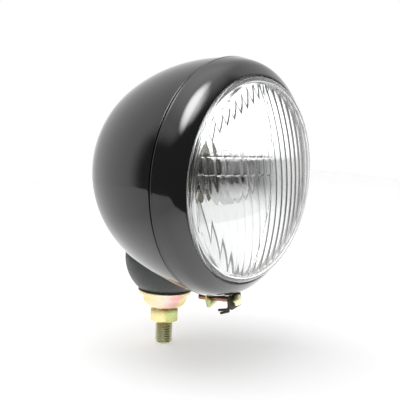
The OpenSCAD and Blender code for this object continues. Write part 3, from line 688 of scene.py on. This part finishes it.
def rim_profile():
    """Hem, side face, shoulder, front face and roll, and back along the inside."""
    half = math.radians((FRONT_LEAN - REAR_LEAN) / 2)
    deeper = (SOFT_SHOULDER_R - SHOULDER_R) / math.cos(half)
    middle = on_circle(SHOULDER_AT, -deeper, (FRONT_LEAN + REAR_LEAN) / 2)
    hem = arc((RIM_R - HEM_R, HEM_AHEAD), HEM_R, HEM_STARTS, BEAD_TURN, 16)
    shoulder = arc(middle, SOFT_SHOULDER_R, REAR_LEAN + CROWN_TURN, FRONT_LEAN - CROWN_TURN, 24)
    roll = arc(ROLL_AT, ROLL_R, FRONT_LEAN, 180, 14)
    hem.append((hem[-1][0] - BEAD_RISE, hem[-1][1] + BEAD_RUN))
    outer = hem + crowned(hem[-1], shoulder[0], CROWN) + shoulder
    outer += crowned(shoulder[-1], roll[0], CROWN) + roll
    wall = [(ROLL_AT[0] - ROLL_R, GLASS_FRONT), (ROLL_AT[0] - ROLL_R + RIM_SHEET, GLASS_FRONT)]
    wall += [(wall[1][0], ROLL_AT[1] - WALL_STEP)]
    back = arc(middle, SOFT_SHOULDER_R - RIM_SHEET, FRONT_LEAN, REAR_LEAN, 24)
    return outer + wall + back


piece("rim_ring", spin(rim_profile(), LAMP_AXIS), "lamp", ENAMEL, ["rim"])

# %% [markdown]
# The reflector is a deep paraboloid with a flat flange. Its focus lies where the bulb's filament is.

# %% Reflector
MIRROR_R, MIRROR_HOLE, FOCUS, MIRROR_SHEET, MIRROR_STEPS = 62.5, 20.6, 25.0, 0.9, 48
GLASS_T, GASKET_T, GLASS_R = 3.6, 1.3, 70.4
MIRROR_FRONT = GLASS_FRONT - GLASS_T - GASKET_T
mirror_bottom = MIRROR_FRONT - MIRROR_R ** 2 / (4 * FOCUS)


def mirror_profile():
    """The parabola from hole to edge, the flange, and back along the rear face."""
    radii = [MIRROR_HOLE + (MIRROR_R - MIRROR_HOLE) * k / MIRROR_STEPS for k in range(MIRROR_STEPS + 1)]
    inner = [(r, mirror_bottom + r * r / (4 * FOCUS)) for r in radii]
    flange = [(GLASS_R, MIRROR_FRONT), (GLASS_R, MIRROR_FRONT - MIRROR_SHEET)]
    outer = [(r, a - MIRROR_SHEET) for r, a in reversed(inner)]
    return inner + flange + outer


piece("reflector_mirror", spin(mirror_profile(), LAMP_AXIS), "lamp", MIRROR,
      ["reflector"])

# %% [markdown]
# The glass is the piece that makes the lamp. Outside it is smooth: a straight wall that stands out of the
# ring, a tightly rounded shoulder and a shallow dome. Inside, flutes spread the beam. One half of the
# field has a single block of them, and the other is divided by two lines into three blocks, in which
# the flutes lean by different angles. Along the lines the glass is left standing as a fine ridge.

# %% Glass: the pattern
GLASS_WALL = 3.0
SHOULDER_GLASS_R = 5.0
SHOULDER_GLASS_AT = (62.7, GLASS_FRONT + GLASS_WALL)
DOME_R = 170.0
FIELD_R = 62.0
FLUTE_W, FLUTE_DEPTH = 6.8, 0.3
FLUTE_R = (FLUTE_W ** 2 / 4 + FLUTE_DEPTH ** 2) / (2 * FLUTE_DEPTH)
LINE_TOP, LINE_LOW, LINE_SLOPE = 16.2, 5.0, math.radians(3)
RIDGE = 0.45
WIDE_LEAN, MID_LEAN, LOW_LEAN = (math.radians(a) for a in (7, 4, 16))
dome_at = (0, SHOULDER_GLASS_AT[1] - math.sqrt((DOME_R - SHOULDER_GLASS_R) ** 2 - SHOULDER_GLASS_AT[0] ** 2))
dome_angle = math.degrees(math.atan2(SHOULDER_GLASS_AT[1] - dome_at[1], SHOULDER_GLASS_AT[0]))
ACROSS = Vector((math.cos(LINE_SLOPE), 0, -math.sin(LINE_SLOPE)))
UPWARD = Vector((math.sin(LINE_SLOPE), 0, math.cos(LINE_SLOPE)))
print("flutes", FLUTE_W, "mm wide with a radius of", round(FLUTE_R, 1), "mm")


def lean_of(place):
    """The lean of the flutes at a place of the field, given in mm from the lamp's axis."""
    across, up = place.dot(ACROSS), place.dot(UPWARD)
    if across > 0 or up > LINE_TOP:
        return WIDE_LEAN
    return MID_LEAN if up > LINE_LOW else LOW_LEAN


def flute(place):
    """How deep the inner face is sunk at a place of the field, in mm."""
    lean = lean_of(place)
    x = place.x * math.cos(lean) + place.z * math.sin(lean)
    aside = x - (math.floor(x / FLUTE_W) + 0.5) * FLUTE_W
    depth = max(0.0, math.sqrt(FLUTE_R ** 2 - aside ** 2) - FLUTE_R + FLUTE_DEPTH)
    across, up = place.dot(ACROSS), place.dot(UPWARD)
    ridges = [abs(across)] + ([abs(up - LINE_TOP), abs(up - LINE_LOW)] if across < 0 else [])
    return depth * min(1.0, min(ridges) / RIDGE)


# %% [markdown]
# The inner face starts as a round sheet of level strips. It is first cut along the ridges, then each block
# is cut along its own leaning flutes, eight columns to a flute, so that every crest lies on an edge. The
# sheet's rim is carried out over the flange and up over the outside as a series of rings. At the end
# each point of the sheet is set on the inner dome and sunk into its flute.

# %% Glass: the mesh
COLUMNS, STRIPS = 8, 96
SHEET_OVER, REACH_OVER, SHEET_WELD = 1.1, 1.3, 0.02
EDGE_BAND, DOME_STEP, APEX = 0.2, 0.03, 89.6
FLANGE_FILLET, FLANGE_BEVEL, WALL_MARGIN = 0.8, 0.4, 1


def ring_out(bm, edges, radius, along):
    """Carries an open edge out to a circle of the given radius at a distance along the lamp's axis."""
    made = bmesh.ops.extrude_edge_only(bm, edges=edges)["geom"]
    for vert in (v for v in made if isinstance(v, bmesh.types.BMVert)):
        heading = Vector((vert.co.x, vert.co.z)).normalized() * radius
        vert.co = Vector((heading.x, -along, heading.y))
    return [e for e in made if isinstance(e, bmesh.types.BMEdge) and e.is_boundary]


def fluted_sheet():
    """A flat round sheet whose edges follow every ridge, crest and column of the pattern."""
    bm = bmesh.new()
    bmesh.ops.create_grid(bm, x_segments=2, y_segments=STRIPS, size=SHEET_OVER * FIELD_R,
                          matrix=Matrix.Rotation(math.pi / 2, 4, "X"))
    for side in (-RIDGE, 0, RIDGE):
        cut(bm, bm.faces, side * ACROSS, ACROSS)
        for line in (LINE_TOP, LINE_LOW):
            left = [f for f in bm.faces if f.calc_center_median().dot(ACROSS) < 0]
            cut(bm, left, (line + side) * UPWARD, UPWARD)
    reach = math.ceil(REACH_OVER * FIELD_R / FLUTE_W) * COLUMNS
    blocks = {}
    for face in bm.faces:
        middle = face.calc_center_median()
        blocks.setdefault((middle.dot(ACROSS) > 0, lean_of(middle)), []).append(face)
    for (right, lean), faces in blocks.items():
        aside = Vector((math.cos(lean), 0, math.sin(lean)))
        for k in range(-reach, reach + 1):
            faces = cut(bm, faces, k * FLUTE_W / COLUMNS * aside, aside)
    for k in range(STEPS):
        turn = 2 * math.pi * k / STEPS
        outward = Vector((math.cos(turn), 0, math.sin(turn)))
        cut(bm, bm.faces, FIELD_R * outward, outward, clear=True)
    bmesh.ops.remove_doubles(bm, verts=bm.verts, dist=SHEET_WELD)
    return bm


def glass_path():
    """The circles round the fluted field: inner shoulder and wall, flange, outer wall and dome."""
    inner_shoulder = SHOULDER_GLASS_R - GLASS_T
    inner_dome = DOME_R - GLASS_T
    back = GLASS_FRONT - GLASS_T
    fillet_at = (SHOULDER_GLASS_AT[0] + SHOULDER_GLASS_R + FLANGE_FILLET, GLASS_FRONT + FLANGE_FILLET)
    first = math.degrees(math.acos(FIELD_R / inner_dome)) - DOME_STEP
    path = arc(dome_at, inner_dome, first, dome_angle, 4)
    path += arc(SHOULDER_GLASS_AT, inner_shoulder, dome_angle, 0, 8)[1:]
    path += [(SHOULDER_GLASS_AT[0] + inner_shoulder, back)]
    path += [(GLASS_R - FLANGE_BEVEL, back), (GLASS_R, back + FLANGE_BEVEL)]
    path += [(GLASS_R, GLASS_FRONT - FLANGE_BEVEL), (GLASS_R - FLANGE_BEVEL, GLASS_FRONT)]
    path += arc(fillet_at, FLANGE_FILLET, 270, 180, 4)
    path += arc(SHOULDER_GLASS_AT, SHOULDER_GLASS_R, 0, dome_angle, 20)
    return path + arc(dome_at, DOME_R, dome_angle, APEX, 48)[1:]


def glass_mesh():
    """The fluted sheet with its rings, closed at the apex, set on the dome and sunk into its flutes."""
    bm = fluted_sheet()
    field = bm.verts[:]
    edge = [e for e in bm.edges if e.is_boundary]
    for radius, along in glass_path():
        edge = ring_out(bm, edge, radius, along)
    bmesh.ops.pointmerge(bm, verts=list({v for e in edge for v in e.verts}),
                         merge_co=(0, -(dome_at[1] + DOME_R), 0))
    for vert in field:
        place = Vector((vert.co.x, 0, vert.co.z))
        if place.length > FIELD_R - EDGE_BAND:
            place = FIELD_R * place.normalized()
        base = dome_at[1] + math.sqrt((DOME_R - GLASS_T) ** 2 - place.length_squared)
        vert.co = place - Vector((0, base + flute(place), 0))
    bmesh.ops.scale(bm, vec=(MM, MM, MM), verts=bm.verts)
    bmesh.ops.translate(bm, vec=LAMP_AXIS[0], verts=bm.verts)
    bmesh.ops.recalc_face_normals(bm, faces=bm.faces)
    return bm


def grind_wall(glass):
    """Gives the faces of the straight wall and the flange the ground finish."""
    glass.data.materials.append(GROUND_GLASS)
    wall = SHOULDER_GLASS_AT[0] + SHOULDER_GLASS_R - WALL_MARGIN
    for face in glass.data.polygons:
        aside = math.hypot(face.center.x, face.center.z - AXIS_Z) / MM
        forward = (SEAM_Y - face.center.y) / MM
        face.material_index = int(aside > wall and forward < SHOULDER_GLASS_AT[1])


lens = piece("lens_glass", glass_mesh(), "lamp", GLASS, ["lens"], sharp_angle=38)
grind_wall(lens)

# %% [markdown]
# The bulb's globe is blown as thin as a millimetre. It has to be a shell with two faces: a solid ball of
# glass would work as a strong magnifier.

# %% Bulb globe
GLOBE_R, GLOBE_T, NECK_R, LIGHT_LENGTH, GLOBE_AHEAD, NECK_CLEAR = 18.5, 1.0, 13.0, 28.0, 1.0, 0.1
flange_at = mirror_bottom + FOCUS - LIGHT_LENGTH
globe_at = (0, flange_at + LIGHT_LENGTH + GLOBE_AHEAD)


def globe_profile():
    """Out along the outer face from the neck, and back along the inner one."""
    outer_angle = -math.degrees(math.acos(NECK_R / GLOBE_R))
    inner_angle = -math.degrees(math.acos((NECK_R - GLOBE_T) / (GLOBE_R - GLOBE_T)))
    outer = [(NECK_R, flange_at + NECK_CLEAR)] + arc(globe_at, GLOBE_R, outer_angle, 90, 32)
    inner = arc(globe_at, GLOBE_R - GLOBE_T, 90, inner_angle, 32)
    return outer + inner + [(NECK_R - GLOBE_T, flange_at + NECK_CLEAR)]


piece("bulb_globe", spin(globe_profile(), LAMP_AXIS, steps=96), "lamp", BULB_GLASS,
      ["bulb_glass"])

# %% [markdown]
# The cup washer is pressed from thick strip. It has a flat floor round the stud, a rounded lower corner,
# a nearly upright wall and a lip that flares out under the ball.

# %% Cup washer
cup_low, cup_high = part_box("cup_washer")
CUP_FLOOR, CUP_TOP = cup_low.z / MM, cup_high.z / MM
CUP_R, CUP_HOLE, CUP_T, CORNER_R = 15.6, 6.5, 1.8, 7.0
LIP_R, LIP_EDGE_R, LIP_SHEET, LIP_UNDER = 19.0, 0.6, 1.2, (0.5, 2.2)
WALL_DRAFT, NECK_AT, FLARE = (0.12, 1.2), (0.4, 2.2), (1.1, 1.5)


def cup_profile():
    """Floor, corner, wall and flared lip outside, and back down the inside."""
    corner = (CUP_R - CORNER_R, CUP_FLOOR + CORNER_R)
    neck = (CUP_R + NECK_AT[0], corner[1] + NECK_AT[1])
    outer = [(CUP_HOLE, CUP_FLOOR)] + arc(corner, CORNER_R, -90, 0, 16)
    outer += [(CUP_R + WALL_DRAFT[0], corner[1] + WALL_DRAFT[1]), neck]
    outer += [(neck[0] + FLARE[0], neck[1] + FLARE[1]), (LIP_R - LIP_UNDER[0], CUP_TOP - LIP_UNDER[1])]
    outer += arc((LIP_R - LIP_EDGE_R, CUP_TOP - LIP_EDGE_R), LIP_EDGE_R, -10, 90, 6)
    inner = [(LIP_R - LIP_SHEET, CUP_TOP), (neck[0] - CUP_T, neck[1]), (CUP_R - CUP_T, corner[1])]
    inner += arc(corner, CORNER_R - CUP_T, 0, -90, 12)[1:] + [(CUP_HOLE, CUP_FLOOR + CUP_T)]
    return outer + inner


piece("cup_pressing", spin(cup_profile(), STUD_AXIS, steps=128), "cup", STRAW_TO_PINK,
      ["cup_washer"])

# %% [markdown]
# Threads are wound, not drawn as rings. The spin operator can climb while it turns, so one V of the
# thread goes round and up, turn after turn. The coil is cut level at both ends and closed there, and
# its first turns are drawn in to the chamfer that lets a nut start. The depth and the flat crest are those
# of a metric thread, given as shares of the pitch.

# %% Thread
STUD_R, STUD_PITCH, STUD_CHAMFER = 6.0, 1.75, 1.2
DEPTH_SHARE, FLAT_SHARE = 0.61, 1 / 8
print("the thread of the stud is", round(DEPTH_SHARE * STUD_PITCH, 2), "mm deep")


def thread(radius, pitch, low, high, axis, chamfer, steps=48):
    """A right-hand thread between two heights on an axis, in mm, closed and chamfered at its low end."""
    depth = DEPTH_SHARE * pitch
    flat = FLAT_SHARE * pitch
    bm = bmesh.new()
    turns = math.ceil((high - low) / pitch) + 2
    start = low - pitch
    shape = [(radius, 0), (radius, flat), (radius - depth, pitch / 2 - flat / 2),
             (radius - depth, pitch / 2 + flat / 2 + flat), (radius, pitch)]
    corners = [bm.verts.new((MM * r, 0, MM * (start + a))) for r, a in shape]
    edges = [bm.edges.new(pair) for pair in zip(corners, corners[1:])]
    bmesh.ops.spin(bm, geom=corners + edges, cent=(0, 0, 0), axis=(0, 0, 1), angle=2 * math.pi * turns,
                   steps=steps * turns, dvec=(0, 0, MM * pitch / steps))
    bmesh.ops.remove_doubles(bm, verts=bm.verts, dist=2 * WELD * MM)
    for height, up in ((low, -1), (high, 1)):
        bmesh.ops.bisect_plane(bm, geom=bm.verts[:] + bm.edges[:] + bm.faces[:],
                               plane_co=(0, 0, MM * height), plane_no=(0, 0, up), clear_outer=True)
    bmesh.ops.holes_fill(bm, edges=[e for e in bm.edges if e.is_boundary], sides=0)
    for vert in bm.verts:
        reach = math.hypot(vert.co.x, vert.co.y)
        allowed = MM * (radius - max(0.0, chamfer - (vert.co.z / MM - low)))
        if reach > allowed:
            vert.co.x, vert.co.y = vert.co.x * allowed / reach, vert.co.y * allowed / reach
    bmesh.ops.recalc_face_normals(bm, faces=bm.faces)
    turn = Vector((0, 0, 1)).rotation_difference(axis[1]).to_matrix().to_4x4()
    bmesh.ops.transform(bm, matrix=Matrix.Translation(axis[0]) @ turn, verts=bm.verts)
    return bm


# %% [markdown]
# The stud is one bolt: an M12 thread below, and above it, inside the nut and the ball, the plain shank and
# the head of the model. Both lie in one mesh, as two closed solids a hair apart.

# %% Stud
THREAD_END, SHANK_STARTS = 9.0, 9.02


def merged_copy(node):
    """A copy of a model piece with its loose triangles joined up."""
    bm = bmesh.new()
    bm.from_mesh(nodes[node].data)
    bmesh.ops.remove_doubles(bm, verts=bm.verts, dist=WELD / 2 * MM)
    return bm


def stud_mesh():
    """The wound thread with the model's shank and head above it."""
    bm = thread(STUD_R, STUD_PITCH, cad_low.z / MM, THREAD_END, STUD_AXIS, STUD_CHAMFER)
    shank = merged_copy("clamp_bolt")
    bmesh.ops.bisect_plane(shank, geom=shank.verts[:] + shank.edges[:] + shank.faces[:],
                           plane_co=(0, 0, MM * SHANK_STARTS), plane_no=(0, 0, -1), clear_outer=True)
    bmesh.ops.holes_fill(shank, edges=[e for e in shank.edges if e.is_boundary], sides=0)
    mesh = bpy.data.meshes.new("shank")
    shank.to_mesh(mesh)
    shank.free()
    bm.from_mesh(mesh)
    bpy.data.meshes.remove(mesh)
    return bm


piece("stud_thread", stud_mesh(), "stud", OLIVE, ["clamp_bolt"], sharp_angle=50)

# %% [markdown]
# Everything else keeps the shape that the model gives it. Where it shows, its loose triangles are joined,
# and the edges of small metal parts are rounded by a tenth or two of a millimetre, because no real edge is
# perfectly sharp and the thin bright line along an edge is what makes a small part look like metal. The
# last number of each row is that rounding. The pieces inside only get their material.

# %% Pieces that keep the model's shape
SHOWN = {"foot": ("lamp", SATIN, "satin_black_enamel", 0),
         "cable_grommet": ("lamp", RUBBER, "black_rubber", 0),
         "hex_nut": ("stud", STRAW_TO_GREEN, "yellow_zinc", 0.25),
         "cup_seal": ("cup", RUBBER, "black_rubber", 0),
         "clamp_bracket": ("lamp", STRAW_TO_GREEN, "yellow_zinc", 0.2),
         "rim_lug": ("lamp", DARK_STEEL, "dark_steel", 0.2),
         "clamp_screw": ("lamp", COPPERY, "copper_zinc", 0.12),
         "split_pin": ("lamp", DARK_STEEL, "dark_steel", 0)}
INSIDE = {"top_hook": SPRING_STEEL, "lens_gasket": PALE_RUBBER, "bulb_collar": PLATED,
          "lens_clips": SPRING_STEEL, "bulb_flange": PLATED, "bulb_stem": BULB_GLASS,
          "bulb_filaments": TUNGSTEN, "bulb_cap": BRASS, "bulb_contacts": BRASS,
          "bulb_spring": SPRING_STEEL, "bulb_socket": PHENOLIC, "socket_terminals": BRASS,
          "saddle_washer": PLATED, "spring_washer": SPRING_STEEL}


def soften(bm, width_mm, angle=25, flat=1):
    """Joins flat triangles into whole faces and rounds every edge sharper than an angle in degrees."""
    bmesh.ops.dissolve_limit(bm, angle_limit=math.radians(flat), verts=bm.verts, edges=bm.edges)
    sharp = [e for e in bm.edges if e.is_manifold and e.calc_face_angle(0) > math.radians(angle)]
    bmesh.ops.bevel(bm, geom=sharp, offset=width_mm * MM, offset_type="OFFSET", affect="EDGES", segments=2,
                    profile=0.5, material=-1, clamp_overlap=True)
    return bm


for node, (body, material, slot, rounding) in SHOWN.items():
    bm = merged_copy(node)
    if rounding:
        soften(bm, rounding)
    piece(node + "_part", bm, body, material, [node])
for node, material in INSIDE.items():
    nodes[node].data.materials.clear()
    nodes[node].data.materials.append(material)
print(len(SHOWN), "pieces finished on the model's shape, and", len(INSIDE), "inside")
